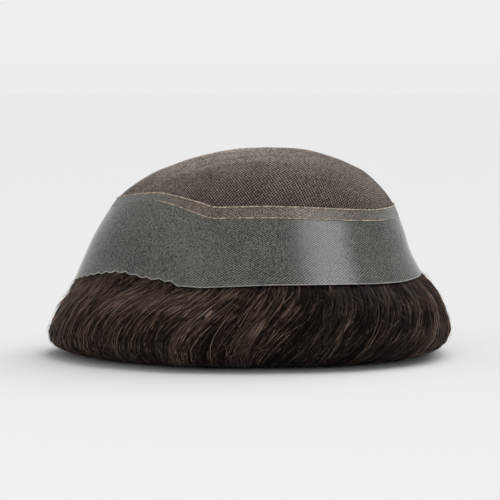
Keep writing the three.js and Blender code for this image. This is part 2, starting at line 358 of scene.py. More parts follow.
def bendCopies(name, bundles, sides=3, flat=1.0):
    # bundles: (paths, outward, widths, tones) with paths n x rings x 3; all become one mesh
    allPoints, allStarts, allTotals, allCorners, allMaps, allCells = [], [], [], [], [], []
    pointCount = cornerCount = 0
    for paths, outward, widths, tones in bundles:
        copies, rings = paths.shape[:2]
        ring, angle, faces = hairPattern(rings, sides)
        along = unit(np.gradient(paths, axis=1))
        sideways = unit(np.cross(along, outward))
        upright = np.cross(sideways, along)
        # sideways, upright and along make a right-handed set, as X, Y and Z of the pattern do
        sideways, upright = sideways[:, ring], upright[:, ring]
        radius = widths[:, ring, None]
        points = paths[:, ring] + radius * (
            np.cos(angle)[None, :, None] * sideways - flat * np.sin(angle)[None, :, None] * upright)
        allPoints.append(points.reshape(-1, 3))
        totals = np.array([len(face) for face in faces])
        corners = np.concatenate(faces)
        allCorners.append((corners[None] + (pointCount + np.arange(copies) * len(ring))[:, None]).ravel())
        starts = np.concatenate([[0], np.cumsum(totals)[:-1]])
        allStarts.append((starts[None] + (cornerCount + np.arange(copies) * len(corners))[:, None]).ravel())
        allTotals.append(np.tile(totals, copies))
        # the map: tone across, place along the strand up
        share = ring[corners] / (rings - 1)
        slip = (angle[corners] / (2 * math.pi) + 0.5) * 0.8 + 0.1
        edgeToEdge = 0.5 + 0.4 * np.cos(angle[corners])
        across = (np.floor(np.clip(tones, 0, 0.999) * toneSteps)[:, None] + edgeToEdge[None]) / toneSteps
        allMaps.append(np.stack([across, np.broadcast_to(share, across.shape)], -1).reshape(-1, 2))
        cells = [np.broadcast_to(slip, across.shape), np.broadcast_to(share, across.shape)]
        allCells.append(np.stack(cells, -1))
        pointCount += copies * len(ring)
        cornerCount += copies * len(corners)
    points, corners = np.concatenate(allPoints), np.concatenate(allCorners)
    starts, totals = np.concatenate(allStarts), np.concatenate(allTotals)
    mesh = bpy.data.meshes.new(name)
    mesh.vertices.add(len(points))
    mesh.vertices.foreach_set("co", (points + centring).astype(np.float32).ravel())
    mesh.loops.add(len(corners))
    mesh.loops.foreach_set("vertex_index", corners.astype(np.int32))
    mesh.polygons.add(len(starts))
    mesh.polygons.foreach_set("loop_start", starts.astype(np.int32))
    mesh.update(calc_edges=True)
    mesh.validate()
    mesh.shade_smooth()
    piece = bpy.data.objects.new(name, mesh)
    bpy.context.collection.objects.link(piece)
    addMap(piece, "strand", np.concatenate(allMaps))
    addMap(piece, "OFBake", ownCells(allCells))
    triangles = int((totals - 2).sum())
    print(name, "triangles", triangles)
    return piece


# The cap unrolled from its top: how far down a turn each distance lies
unrollTurns = np.linspace(0, 2 * math.pi, 361)
unrollClimbs = np.linspace(1, 0, 500)
unrolled = capPoint(unrollTurns[:, None], unrollClimbs[None])
unrollLengths = np.concatenate(
    [np.zeros((361, 1)), np.cumsum(np.linalg.norm(np.diff(unrolled, axis=1), axis=-1), axis=1)], axis=1)
lengthSteps = np.linspace(0, unrollLengths[:, -1].min(), 400)
climbOfLength = np.array([np.interp(lengthSteps, lengths, unrollClimbs) for lengths in unrollLengths])


def climbAtLength(turn, length):
    column = turn % (2 * math.pi) / (2 * math.pi) * 360
    row = np.clip(length / lengthSteps[-1] * 399, 0, 398.999)
    i, j = np.floor(column).astype(int) % 360, np.floor(row).astype(int)
    a, b = column - np.floor(column), row - j
    table = climbOfLength
    return (1 - a) * ((1 - b) * table[i, j] + b * table[i, j + 1]) + a * (
        (1 - b) * table[i + 1, j] + b * table[i + 1, j + 1])


def lengthAtClimb(turn, climb):
    column = np.rint(turn % (2 * math.pi) / (2 * math.pi) * 360).astype(int)
    return np.array([np.interp(1 - c, 1 - unrollClimbs, unrollLengths[k]) for k, c in zip(column, climb)])


def laceThreads():
    edgeTurns = np.linspace(0, 2 * math.pi, 361)
    reach = lengthAtClimb(edgeTurns, climbBelow(edgeTurns, seamClimb(edgeTurns), lace["underHem"]))
    farthest = reach.max()
    bundles = {}
    for side, depth in zip((1, -1), lace["depths"]):
        lean = math.radians(lace["lean"]) * side
        heading = np.array([math.cos(lean), math.sin(lean)])
        aside = np.array([-heading[1], heading[0]])
        count = int(farthest / lace["pitch"])
        for number in range(-count, count + 1):
            travel = np.arange(-farthest, farthest, 0.25 * mm)
            flat = travel[:, None] * heading + number * lace["pitch"] * aside
            turn = np.arctan2(flat[:, 1], flat[:, 0])
            length = np.hypot(flat[:, 0], flat[:, 1])
            inside = length < np.interp(turn % (2 * math.pi), edgeTurns, reach)
            edges = np.flatnonzero(np.diff(np.concatenate([[0], inside.astype(int), [0]])))
            for first, last in edges.reshape(-1, 2):
                if last - first < 8:
                    continue
                wanted = (last - first) * 0.25 * mm / lace["ringSpacing"]
                rings = 6 * max(1, math.ceil(wanted / 6))
                picks = np.linspace(first, last - 1, rings)
                x = np.interp(picks, np.arange(len(travel)), flat[:, 0])
                y = np.interp(picks, np.arange(len(travel)), flat[:, 1])
                bundles.setdefault(rings, []).append(np.stack([x, y, np.full(rings, depth)], -1))
    made = []
    for rings, lines in sorted(bundles.items()):
        flat = np.array(lines)
        turn = np.arctan2(flat[..., 1], flat[..., 0])
        climb = climbAtLength(turn, np.hypot(flat[..., 0], flat[..., 1]))
        paths = underCap(turn, climb, flat[..., 2])
        outward = capNormal(turn, climb)
        widths = np.full(paths.shape[:2], lace["threadRadius"])
        tones = rng.random(len(lines))
        made.append((paths, outward, widths, tones))
    return bendCopies("laceCrown", made)


rng = np.random.default_rng(17)
laceMaterial, shader = newMaterial("laceThread")
place = addNode(laceMaterial, "ShaderNodeTexCoord").outputs["Object"]
blotch = noise(laceMaterial, place, 60, 3, 0.6)
fine = noise(laceMaterial, place, 2200, 1)
dots = noise(laceMaterial, place, 780, 2, 0.55)
stretched = addNode(laceMaterial, "ShaderNodeMapping", {"Vector": place, "Scale": (30, 190, 30)}).outputs[0]
streaks = noise(laceMaterial, stretched, 1, 3, 0.65)
placeX, placeY, placeZ = addNode(laceMaterial, "ShaderNodeSeparateXYZ", {"Vector": place}).outputs
tint = maths(laceMaterial, "MULTIPLY_ADD", dots, 1.4, maths(laceMaterial, "MULTIPLY_ADD", blotch, 0.5, -0.4))
netColour = ramp(laceMaterial, tint, [(0.3, lace["colour"][0]), (0.75, lace["colour"][1])])
# painted shade: the net drawn darker low down the crown and lighter near its top, as the light from above
# falls on it
paintedLowShade = ramp(laceMaterial, maths(laceMaterial, "MULTIPLY", placeZ, 8), [(0.66, (0.62,)), (0.84, (0.9,))])
netColour = mixColours(laceMaterial, 1.0, netColour, paintedLowShade, "MULTIPLY")
# painted sheen: a streaky lighter strip of threads along the middle of the crown, where the light glances off
# the net
aside = maths(laceMaterial, "DIVIDE", maths(laceMaterial, "ABSOLUTE", placeY), lace["sheenHalf"])
aside = maths(laceMaterial, "MULTIPLY_ADD", blotch, 0.12, maths(laceMaterial, "SUBTRACT", aside, 0.56))
paintedSheen = ramp(laceMaterial, aside, [(0.44, (1.0,)), (0.5, (0.0,))])
paintedSheen = maths(laceMaterial, "MULTIPLY", paintedSheen, ramp(laceMaterial, streaks, [(0.36, (0.0,)), (0.54, (1.0,))]))
paintedSheen = maths(laceMaterial, "MULTIPLY", paintedSheen, ramp(laceMaterial, dots, [(0.4, (0.1,)), (0.56, (1.0,))]))
rearward = ramp(laceMaterial, maths(laceMaterial, "MULTIPLY_ADD", placeX, 5, 0.5),
                [(0.24, (0.1,)), (0.4, (1.0,)), (0.52, (1.0,)), (0.7, (0.15,))])
paintedSheen = maths(laceMaterial, "MULTIPLY", paintedSheen, rearward)
laceColour = mixColours(laceMaterial, paintedSheen, netColour, lace["sheenColour"])
link(laceMaterial, laceColour, shader.inputs["Base Color"])
setShader(shader, Roughness=lace["roughness"], Specular_IOR_Level=0.25,
          Sheen_Weight=0.25, Sheen_Roughness=0.4)
link(laceMaterial, bump(laceMaterial, fine, 0.4, 0.0001), shader.inputs["Normal"])
laceCrown = laceThreads()
laceCrown.data.materials.append(laceMaterial)
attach(laceCrown, "root")
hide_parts("lace_crown")

# Poly band: a thin clear film with a fine diagonal gauze in it, scalloped along the front

band = {
    "wall": 0.8 * mm,
    "height": 42 * mm,  # roughly, to count the gauze's threads
    "scallopPitch": 7 * mm,
    "scallopDepth": 1.2 * mm,
    "columnsPerScallop": 14,
    "plainColumns": 260,
    "rows": 12,
    "underHem": 2 * mm,
    "gauzePeriod": 1.3 * mm,
    "gap": (0.006, 0.006, 0.005),
    "dark": (0.028, 0.029, 0.023),
    "pale": (0.235, 0.235, 0.205),
    "roughness": 0.4,
}


def rimTurns():
    # turns of the band's columns, the scalloped front first, evenly spaced along the rim
    corner = math.radians(base["scallopSpread"])

    def stretch(start, end, count):
        turns = np.linspace(start, end, 1500)
        points = capPoint(turns, rimClimb(turns))
        lengths = np.concatenate([[0], np.cumsum(np.linalg.norm(np.diff(points, axis=0), axis=1))])
        total = count(lengths[-1])
        return np.interp(np.arange(total) / total * lengths[-1], lengths, turns), lengths[-1]

    perScallop = band["columnsPerScallop"]
    front, frontLength = stretch(math.pi - corner, math.pi + corner,
                                 lambda length: round(length / band["scallopPitch"]) * perScallop)
    plain, plainLength = stretch(math.pi + corner, 3 * math.pi - corner, lambda length: band["plainColumns"])
    dips = band["scallopDepth"] * np.abs(np.sin(np.pi * np.arange(len(front)) / perScallop))
    turns = np.concatenate([front, plain, [front[0] + 2 * math.pi]])
    dips = np.concatenate([dips, np.zeros(len(plain) + 1)])
    return turns, dips, frontLength + plainLength


bandTurns, bandDips, rimGirth = rimTurns()
bandColumns = len(bandTurns) - 1


def bandPlace(across, down):
    column = np.rint(across * bandColumns).astype(int)
    turn, dip = bandTurns[column], bandDips[column]
    top = climbBelow(turn, hemFootClimb(turn), -band["underHem"])
    bottom = climbBelow(turn, rimClimb(turn), dip)
    return capPoint(turn, bottom + (top - bottom) * down)


polyBand = wrapSheet("polyBand", bandColumns, band["rows"], bandPlace)
turnOutward(polyBand)
solidify = polyBand.modifiers.new("wall", "SOLIDIFY")
solidify.thickness = band["wall"]
solidify.offset = -1
applyModifiers(polyBand)
smoothShade(polyBand)
polyMaterial, shader = newMaterial("polyFilm")
bandAcross = round(rimGirth / band["gauzePeriod"])
bandDown = round(band["height"] / band["gauzePeriod"])
sheetPoint = mapPoint(polyMaterial, "sheet")
place = addNode(polyMaterial, "ShaderNodeTexCoord").outputs["Object"]
falling, rising = weaveHeight(polyMaterial, sheetPoint, bandAcross, bandDown)
threads = maths(polyMaterial, "MAXIMUM", falling, rising)
cloud = noise(polyMaterial, place, 45, 3, 0.6)
speck = noise(polyMaterial, place, 1500, 2, 0.7)
shade = maths(polyMaterial, "MULTIPLY_ADD", threads, 0.7, 0.08)
shade = maths(polyMaterial, "MULTIPLY_ADD", cloud, 0.5, maths(polyMaterial, "SUBTRACT", shade, 0.25))
shade = maths(polyMaterial, "MULTIPLY_ADD", speck, 3.2, maths(polyMaterial, "SUBTRACT", shade, 1.6))
alongX = addNode(polyMaterial, "ShaderNodeSeparateXYZ", {"Vector": place}).outputs[0]
alongX = maths(polyMaterial, "MULTIPLY_ADD", alongX, 5, 0.5)
cloudy = ramp(polyMaterial, alongX, [(0.2, (0.0,)), (0.3, (0.12,)), (0.43, (0.12,)), (0.52, (0.0,))])
shade = maths(polyMaterial, "ADD", shade, cloudy)
# painted glints: the gauze drawn with lighter threads and darker gaps in the strip where the film light's
# highlight falls
glintZone = ramp(polyMaterial, alongX, [(0.58, (0.0,)), (0.63, (1.0,)), (0.7, (1.0,)), (0.76, (0.2,))])
paintedGlints = maths(polyMaterial, "MULTIPLY", maths(polyMaterial, "SUBTRACT", threads, 0.8), glintZone)
shade = maths(polyMaterial, "MULTIPLY_ADD", paintedGlints, 2.2, shade)
filmColour = ramp(polyMaterial, shade,
                  [(0.0, band["gap"]), (0.36, band["dark"]), (1.0, band["pale"])])
link(polyMaterial, filmColour, shader.inputs["Base Color"])
setShader(shader, Roughness=band["roughness"], Specular_IOR_Level=0.12, Coat_Weight=0.9, Coat_Roughness=0.04,
          Sheen_Weight=0.4, Sheen_Roughness=0.3, Sheen_Tint=(1.0, 1.0, 0.94))
relief = maths(polyMaterial, "MULTIPLY_ADD", threads, 0.6, maths(polyMaterial, "MULTIPLY", speck, 0.8))
filmNormal = bump(polyMaterial, relief, 0.5, 0.000045)
link(polyMaterial, filmNormal, shader.inputs["Normal"])
link(polyMaterial, filmNormal, shader.inputs["Coat Normal"])
polyBand.data.materials.append(polyMaterial)
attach(polyBand, "root")
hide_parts("poly_band")
print("band made, rim girth", rimGirth)


def ringTube(name, path, outward, radii, sides=6):
    # a torus drawn out along a closed path round the cap
    steps = len(path)
    bpy.ops.mesh.primitive_torus_add(major_segments=steps, minor_segments=sides,
                                     major_radius=2, minor_radius=1)
    piece = bpy.context.object
    piece.name = piece.data.name = name
    points = getPoints(piece)
    ring = np.rint(np.arctan2(points[:, 1], points[:, 0]) / (2 * math.pi) * steps).astype(int) % steps
    angle = np.arctan2(points[:, 2], np.hypot(points[:, 0], points[:, 1]) - 2)
    along = unit(np.roll(path, -1, axis=0) - np.roll(path, 1, axis=0))
    upward = unit(np.cross(outward, along))
    offset = np.cos(angle)[:, None] * outward[ring] + np.sin(angle)[:, None] * upward[ring]
    setPoints(piece, path[ring] + radii[ring, None] * offset)
    bpy.ops.object.mode_set(mode="EDIT")
    bpy.ops.mesh.select_all(action="SELECT")
    bpy.ops.mesh.normals_make_consistent(inside=False)
    bpy.ops.object.mode_set(mode="OBJECT")
    smoothShade(piece, 80)
    return piece


# The cut edge of the film along the rim catches the light

rimEdge = {"radius": 0.42 * mm, "depth": 0.35 * mm, "dark": (0.2, 0.2, 0.18), "pale": (0.42, 0.42, 0.38)}
edgeTurns, edgeDips = bandTurns[:-1], bandDips[:-1]
edgeClimbs = climbBelow(edgeTurns, rimClimb(edgeTurns), edgeDips)
rimBead = ringTube("rimEdge", underCap(edgeTurns, edgeClimbs, np.full(len(edgeTurns), rimEdge["depth"])),
                   capNormal(edgeTurns, edgeClimbs), np.full(len(edgeTurns), rimEdge["radius"]))
rimMaterial, shader = newMaterial("filmEdge")
place = addNode(rimMaterial, "ShaderNodeTexCoord").outputs["Object"]
speck = noise(rimMaterial, place, 500, 2, 0.6)
edgeColour = ramp(rimMaterial, speck, [(0.3, rimEdge["dark"]), (0.7, rimEdge["pale"])])
link(rimMaterial, edgeColour, shader.inputs["Base Color"])
setShader(shader, Roughness=0.3, Coat_Weight=0.3)
rimBead.data.materials.append(rimMaterial)
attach(rimBead, "root")

# Folded hem: the lace turned back on itself, between two rows of tan thread

hem = {
    "wall": 1.2 * mm,
    "proud": 0.25 * mm,
    "columns": 420,
    "rows": 5,
    "meshesRound": 161,
    "meshesDown": 4,
    "shownFrom": -43 * mm,  # in front of this it is hidden in the film, and behind the other
    "shownTo": 67 * mm,
    "dark": (0.01, 0.008, 0.006),
    "pale": (0.31, 0.24, 0.165),
    "filmed": (0.25, 0.25, 0.222),
    "threadRadius": 0.38 * mm,
    "stitchesRound": 293,
    "thread": (0.64, 0.545, 0.41),
}


def hemShown(x):
    # 1 where the hem shows, 0 in front of that and 0.1 behind it
    return np.interp(x + centring[0], [hem["shownFrom"] - 5 * mm, hem["shownFrom"],
                                       hem["shownTo"], hem["shownTo"] + 5 * mm], [0, 1, 1, 0.1])


def hemPlace(across, down):
    turn = across * 2 * math.pi
    foot, seam = hemFootClimb(turn), seamClimb(turn)
    climb = foot + (seam - foot) * down
    shown = hemShown(capPoint(turn, climb)[:, 0])
    return underCap(turn, climb, -hem["proud"] * (shown + (1 - shown) * down))


foldedHem = wrapSheet("foldedHem", hem["columns"], hem["rows"], hemPlace)
turnOutward(foldedHem)
solidify = foldedHem.modifiers.new("wall", "SOLIDIFY")
solidify.thickness = hem["wall"]
solidify.offset = -1
applyModifiers(foldedHem)
smoothShade(foldedHem)
hemMaterial, shader = newMaterial("hemNetting")
sheetPoint = mapPoint(hemMaterial, "sheet")
place = addNode(hemMaterial, "ShaderNodeTexCoord").outputs["Object"]
falling, rising = weaveHeight(hemMaterial, sheetPoint, hem["meshesRound"], hem["meshesDown"])
threads = maths(hemMaterial, "MAXIMUM", falling, rising)
cloud = noise(hemMaterial, place, 90, 3, 0.6)
speck = noise(hemMaterial, place, 1800, 2, 0.7)
shade = maths(hemMaterial, "MULTIPLY_ADD", threads, 0.2, 0.3)
shade = maths(hemMaterial, "MULTIPLY_ADD", cloud, 0.5, maths(hemMaterial, "SUBTRACT", shade, 0.25))
shade = maths(hemMaterial, "MULTIPLY_ADD", speck, 3.0, maths(hemMaterial, "SUBTRACT", shade, 1.5))
alongX = addNode(hemMaterial, "ShaderNodeSeparateXYZ", {"Vector": place}).outputs[0]
alongX = maths(hemMaterial, "MULTIPLY_ADD", alongX, 5, 0.5)
rear = ramp(hemMaterial, alongX, [(0.7, (0.0,)), (0.78, (0.14,))])
netting = ramp(hemMaterial, maths(hemMaterial, "SUBTRACT", shade, rear),
               [(0.05, hem["dark"]), (0.4, (0.11, 0.09, 0.07)), (0.85, hem["pale"])])
hidden = ramp(hemMaterial, alongX, [(0.25, (1.0,)), (0.31, (0.0,)), (0.82, (0.0,)), (0.87, (1.0,))])
filmed = ramp(hemMaterial, shade, [(0.0, (0.03, 0.031, 0.025)), (1.0, hem["filmed"])])
link(hemMaterial, mixColours(hemMaterial, hidden, netting, filmed), shader.inputs["Base Color"])
setShader(shader, Roughness=0.4, Specular_IOR_Level=0.4, Coat_Weight=0.3, Coat_Roughness=0.2,
          Sheen_Weight=0.25, Sheen_Roughness=0.35)
relief = maths(hemMaterial, "ADD", threads, speck)
link(hemMaterial, bump(hemMaterial, relief, 0.5, 0.0003), shader.inputs["Normal"])
foldedHem.data.materials.append(hemMaterial)
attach(foldedHem, "root")
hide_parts("folded_hem")


def hemThread(name, climbOf, radius, swell, hides=False):
    steps = hem["stitchesRound"] * 4
    turns = np.linspace(0, 2 * math.pi, steps, endpoint=False)
    climbs = climbOf(turns)
    shown = hemShown(capPoint(turns, climbs)[:, 0]) if hides else np.ones(steps)
    path = underCap(turns, climbs, -hem["proud"] * shown - 0.05 * mm)
    beat = np.abs(np.sin(np.pi * np.arange(steps) / 4))
    radii = radius * (1 - swell + swell * beat)
    return ringTube(name, path, capNormal(turns, climbs), radii * (0.25 + 0.75 * shown))


threadMaterial, shader = newMaterial("tanThread")
place = addNode(threadMaterial, "ShaderNodeTexCoord").outputs["Object"]
speck = noise(threadMaterial, place, 900, 2, 0.7)
threadColour = ramp(threadMaterial, speck, [(0.4, (0.13, 0.1, 0.07)), (0.62, hem["thread"])])
link(threadMaterial, threadColour, shader.inputs["Base Color"])
setShader(shader, Roughness=0.6, Sheen_Weight=0.2)
topThread = hemThread("seamThread", seamClimb, hem["threadRadius"], 0.25)
footThread = hemThread("hemThread", hemFootClimb, hem["threadRadius"] * 0.9, 0.6, hides=True)
for piece in (topThread, footThread):
    piece.data.materials.append(threadMaterial)
    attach(piece, "root")
print("hem made")

# Hair

hair = {
    "bulge": 14.5 * mm,  # how far the roll stands out past the rim
    "tuck": 28 * mm,  # how far its ends turn in
    "rootLap": 10 * mm,  # how far up behind the band its roots reach
    "liningDepth": 5 * mm,
    "lapShare": 0.1,  # of the core's rows, behind the band at each end
    "crownDepth": 1.4 * mm,  # of the hair behind the lace
    "lockDepth": 1.3 * mm,
    "lockCount": 33,
    "bodyLift": -2.2 * mm,  # the solid core, under the strands
    "darkest": (0.0035, 0.0024, 0.0019),
    "dark": (0.009, 0.006, 0.0045),
    "brown": (0.055, 0.0352, 0.026),
    "light": (0.29, 0.2, 0.154),
    "roughness": 0.34,
}

# The roll from the rim out, down to the surface and in under the rim: up as a share of the rim's
# height, reach in shares of the bulge at the front and at the back, negative in shares of the tuck
rollUp = [1.04, 1.0, 0.9, 0.79, 0.67, 0.56, 0.42, 0.25, 0.12, 0.03, 0.0, 0.0, 0.06, 0.22, 0.45, 0.7, 0.9]
rollFront = [-0.17, -0.12, 0.06, 0.17, 0.46, 0.62, 0.78, 0.92, 0.7, 0.0, -1.0]
rollBack = [-0.17, -0.11, 0.185, 0.46, 0.66, 0.8, 0.95, 0.97, 0.62, -0.1, -1.0]
rollTuck = [0.62, 0.87, 1.0, 0.83, 0.55, 0.35]
reachFront = np.array([r * hair["bulge"] for r in rollFront] + [-r * hair["tuck"] for r in rollTuck])
reachBack = np.array([r * hair["bulge"] for r in rollBack] + [-r * hair["tuck"] for r in rollTuck])
rollLengths = np.hypot(np.diff((reachFront + reachBack) / 2), np.diff(rollUp) * 44 * mm)
rollPlaces = np.concatenate([[0], np.cumsum(rollLengths)])
rollTotal = rollPlaces[-1]
floorPlace, tuckPlace, curlPlace = rollPlaces[10], rollPlaces[11], rollPlaces[12]

# How the hair is combed, by degrees round from the back: swing is how far round it goes, in
# radians, and it does so between start and end, as shares of the way down from rim to surface
combDegrees = [0, 20, 90, 140, 180, 212, 238, 260, 278, 296, 316, 340, 360]
combSwing = [0.2, 0.35, 0.45, 0.45, 0.42, 0.44, 0.46, 0.38, 0.27, 0.26, 0.3, 0.26, 0.2]
combStart = [0.2, 0.1, 0, -0.2, -0.3, -0.35, -0.35, -0.3, -0.1, 0.15, 0.25, 0.25, 0.2]
combEnd = [1.2, 1.2, 0.95, 0.85, 0.8, 0.72, 0.68, 0.7, 0.84, 1.05, 1.2, 1.2, 1.2]
combToneAndShade = [0.48, 0.26, 0, 0.05, 0.52, 0.18, 0.08, 0.05, -0.04, -0.13, -0.12, 0.14, 0.48]  # lighter over 0: partly the hair's own tone, partly painted light and shade for how the light falls round the roll


def rollPoint(turn, distance, lift):
    # a point of the hair roll at a distance along its outline from the rim, lifted off it
    climb = rimClimb(turn)
    rim = capPoint(turn, climb)
    outward = capNormal(turn, climb)
    outward[..., 2] = 0
    outward = unit(outward)
    backness = (1 + np.cos(turn)) / 2

    def outline(at):
        at = np.clip(at, 0, rollTotal)
        up = smoothThrough(rollPlaces, rollUp, at)
        front = smoothThrough(rollPlaces, reachFront, at)
        back = smoothThrough(rollPlaces, reachBack, at)
        return front + (back - front) * backness, up * rim[..., 2]

    reach, height = outline(distance)
    ahead, behind = outline(distance + 0.5 * mm), outline(distance - 0.5 * mm)
    alongOut, alongUp = ahead[0] - behind[0], ahead[1] - behind[1]
    size = np.maximum(np.hypot(alongOut, alongUp), 1e-9)
    normalOut, normalUp = -alongUp / size, alongOut / size
    reach = reach + lift * normalOut
    height = np.maximum(height + lift * normalUp, 0.35 * mm)
    point = rim + outward * reach[..., None]
    point[..., 2] = height
    normal = outward * normalOut[..., None]
    normal[..., 2] = normalUp
    return point, normal


def combed(root, up, swing=1.0):
    # where hair rooted at a turn has come round to at a height
    degrees = np.degrees(root) % 360
    start, end = (smoothThrough(combDegrees, column, degrees) for column in (combStart, combEnd))
    amount = smoothThrough(combDegrees, combSwing, degrees) * swing

    def swung(down):
        part = np.clip((down - start) / (end - start), 0, 1)
        return part * part * (3 - 2 * part)

    return root - amount * (swung(np.clip(1 - up, 0, 1)) - swung(0 * start))


def nearest(centres, turns):
    # the centre nearest to each turn, and the way to it
    gaps = (centres[None] - turns[:, None] + math.pi) % (2 * math.pi) - math.pi
    index = np.abs(gaps).argmin(1)
    return index, gaps[np.arange(len(turns)), index]


def spreadTurns(chance, count):
    # turns evenly along the rim, a little disturbed
    along = (np.arange(count) + chance.random(count)) / count * rimGirth
    return np.interp(along, np.linspace(0, rimGirth, len(bandTurns)), bandTurns)


def makeStrands(count, rings, lifts, width, reach, seed, tone, spread, stray):
    chance = np.random.default_rng(seed)
    roots = spreadTurns(chance, count)
    locks, wisps = spreadTurns(chance, 75), spreadTurns(chance, 650)
    lockSwing, lockLift, lockTone = np.clip(chance.normal(0, 1, (3, len(locks))), -1.8, 1.8)
    wispSwing, wispLift, wispTone = chance.normal(0, 1, (3, len(wisps)))
    wispOf, toWisp = nearest(wisps, roots)
    lockOf, toLock = nearest(locks, wisps)
    lockOf, toLock = lockOf[wispOf], toLock[wispOf]
    share = np.linspace(0, 1, rings) ** 1.1
    ends = reach[0] + (reach[1] - reach[0]) * chance.random(count)
    distance = ends[:, None] * share
    up = smoothThrough(rollPlaces, rollUp, distance)
    gathered = roots[:, None] + toWisp[:, None] * 0.6 * share ** 0.8 + toLock[:, None] * 0.45 * share ** 1.5
    swing = 1 + 0.14 * lockSwing[lockOf] + 0.08 * wispSwing[wispOf]
    swing = swing + 0.06 * stray * chance.normal(0, 1, count)
    turn = combed(gathered, up, swing[:, None])
    phase = chance.random(count)[:, None] * 2 * math.pi
    turn = turn + stray * 0.004 * np.sin(phase + share * (5 + 7 * chance.random(count)[:, None])) * share
    settled = np.clip(up / 0.2, 0.15, 1)
    rooted = np.clip(distance / (6 * mm), 0, 1)
    proud = 0.6 * mm * lockLift[lockOf] + 0.35 * mm * wispLift[wispOf]
    lift = (lifts[0] + (lifts[1] - lifts[0]) * chance.random(count))[:, None]
    lift = lift + proud[:, None] * np.sin(np.pi * share * 0.9 + 0.1) * settled
    lift = lift + stray * 0.15 * mm * np.sin(2 * phase + 7 * share) * settled
    lift = -0.4 * mm * (1 - rooted) + lift * rooted
    points, normals = rollPoint(turn, distance, lift)
    taper = np.interp(share, [0, 0.08, 0.75, 1], [0.7, 1, 0.85, 0.2])
    widths = width / 2 * (0.7 + 0.6 * chance.random(count))[:, None] * taper
    tones = tone + 0.06 * lockTone[lockOf] + 0.06 * wispTone[wispOf] + spread * chance.normal(0, 1, count)
    tones = tones + smoothThrough(combDegrees, combToneAndShade, np.degrees(roots) % 360)
    return points, normals, widths, np.clip(tones, 0, 0.999)


def makeFuzz(count, rings, lengths, lean, lifts, width, tone, seed):
    # short hairs that start anywhere on the roll and lean off the flow
    chance = np.random.default_rng(seed)
    roots = spreadTurns(chance, count)
    share = np.linspace(0, 1, rings)
    length = lengths[0] + (lengths[1] - lengths[0]) * chance.random(count)
    leaning = np.clip(chance.normal(0, lean, count), -1.3, 1.3)
    start = (floorPlace + length) * chance.random(count) - length
    distance = np.clip(start[:, None] + (length * np.cos(leaning))[:, None] * share, 0, floorPlace)
    up = smoothThrough(rollPlaces, rollUp, distance)
    drift = (length * np.sin(leaning) / (85 * mm))[:, None] * share
    turn = combed(roots[:, None], up) + drift + chance.normal(0, 0.1 * lean, count)[:, None] * share ** 2
    tips = lifts[0] + (lifts[1] - lifts[0]) * chance.random(count) ** 2
    rooted = np.clip(distance / (6 * mm), 0, 1)
    lift = -0.5 * mm + (tips[:, None] + 0.5 * mm) * (0.4 + 0.6 * share) * rooted * np.clip(up / 0.2, 0.15, 1)
    points, normals = rollPoint(turn, distance, lift)
    widths = np.full((count, rings), width / 2) * np.interp(share, [0, 0.3, 1], [0.4, 1, 0.2])
    tones = tone + 0.28 * chance.normal(0, 1, count)
    tones = tones + smoothThrough(combDegrees, combToneAndShade, np.degrees(roots) % 360)
    return points, normals, widths, np.clip(tones, 0, 0.999)


def hairBodyMaterial():
    material, shader = newMaterial("hairBody")
    streak = noise(material, mapPoint(material, "sheet", (900, 6, 1)), 1, 3, 0.65)
    colour = ramp(material, streak, [(0.35, hair["darkest"]), (0.7, hair["dark"]), (0.9, hair["brown"])])
    link(material, colour, shader.inputs["Base Color"])
    link(material, bump(material, streak, 0.8, 0.6 * mm), shader.inputs["Normal"])
    setShader(shader, Roughness=0.5, Specular_IOR_Level=0.3, Specular_Tint=(1.0, 0.8, 0.66))
    return material


def hairStrandMaterial(name, streaks, breaks, contrast, relief):
    # streaks is how many fine hairs a strand shows from edge to edge, breaks how often they change
    material, shader = newMaterial(name)
    place = addNode(material, "ShaderNodeTexCoord").outputs["Object"]
    strandPoint = mapPoint(material, "strand")
    tone, along = addNode(material, "ShaderNodeSeparateXYZ", {"Vector": strandPoint}).outputs[:2]
    placeX, _, height = addNode(material, "ShaderNodeSeparateXYZ", {"Vector": place}).outputs
    glint = noise(material, mapPoint(material, "strand", (toneSteps * streaks, breaks, 1)), 1, 2, 0.7)
    # painted highlight: tone lifted in patches on the upper front of the roll, where it faces the light from
    # above
    patch = ramp(material, noise(material, place, 38, 2, 0.5), [(0.4, (0.2,)), (0.58, (1.0,))])
    highlightBand = ramp(material, maths(material, "MULTIPLY", height, 20),
                 [(0.48, (0.0,)), (0.6, (1.0,)), (0.74, (1.0,)), (0.84, (0.0,))])
    frontward = ramp(material, maths(material, "MULTIPLY_ADD", placeX, 5, 0.5),
                     [(0.44, (1.0,)), (0.56, (0.25,))])
    paintedHighlight = maths(material, "MULTIPLY", maths(material, "MULTIPLY", patch, highlightBand), frontward)
    tone = maths(material, "MULTIPLY_ADD", glint, contrast, maths(material, "SUBTRACT", tone, contrast / 2))
    tone = maths(material, "MULTIPLY_ADD", paintedHighlight, 0.38, tone)
    # painted shade: tone lowered slightly towards the floor
    low = ramp(material, maths(material, "MULTIPLY", height, 20), [(0.05, (1.0,)), (0.45, (0.0,))])
    tone = maths(material, "MULTIPLY_ADD", low, -0.01, tone)
    colour = ramp(material, tone, [(0.2, hair["darkest"]), (0.42, hair["dark"]),
                                   (0.68, hair["brown"]), (0.97, hair["light"])])
    # painted shade: the hair drawn darker near its roots, in the shade under the rim
    rootShade = ramp(material, along, [(0.0, (0.3,)), (0.1, (0.6,)), (0.35, (1.0,))])
    link(material, mixColours(material, 1.0, colour, rootShade, "MULTIPLY"), shader.inputs["Base Color"])
    setShader(shader, Roughness=hair["roughness"], Specular_IOR_Level=0.12, Specular_Tint=(1.0, 0.8, 0.66))
    link(material, bump(material, glint, 1.0, relief), shader.inputs["Normal"])
    return material


bodyMaterial = hairBodyMaterial()
strandMaterial = hairStrandMaterial("hairStrand", 0.9, 7, 1.6, 0.1 * mm)
lockMaterial = hairStrandMaterial("hairLock", 12, 6, 3.8, 0.35 * mm)


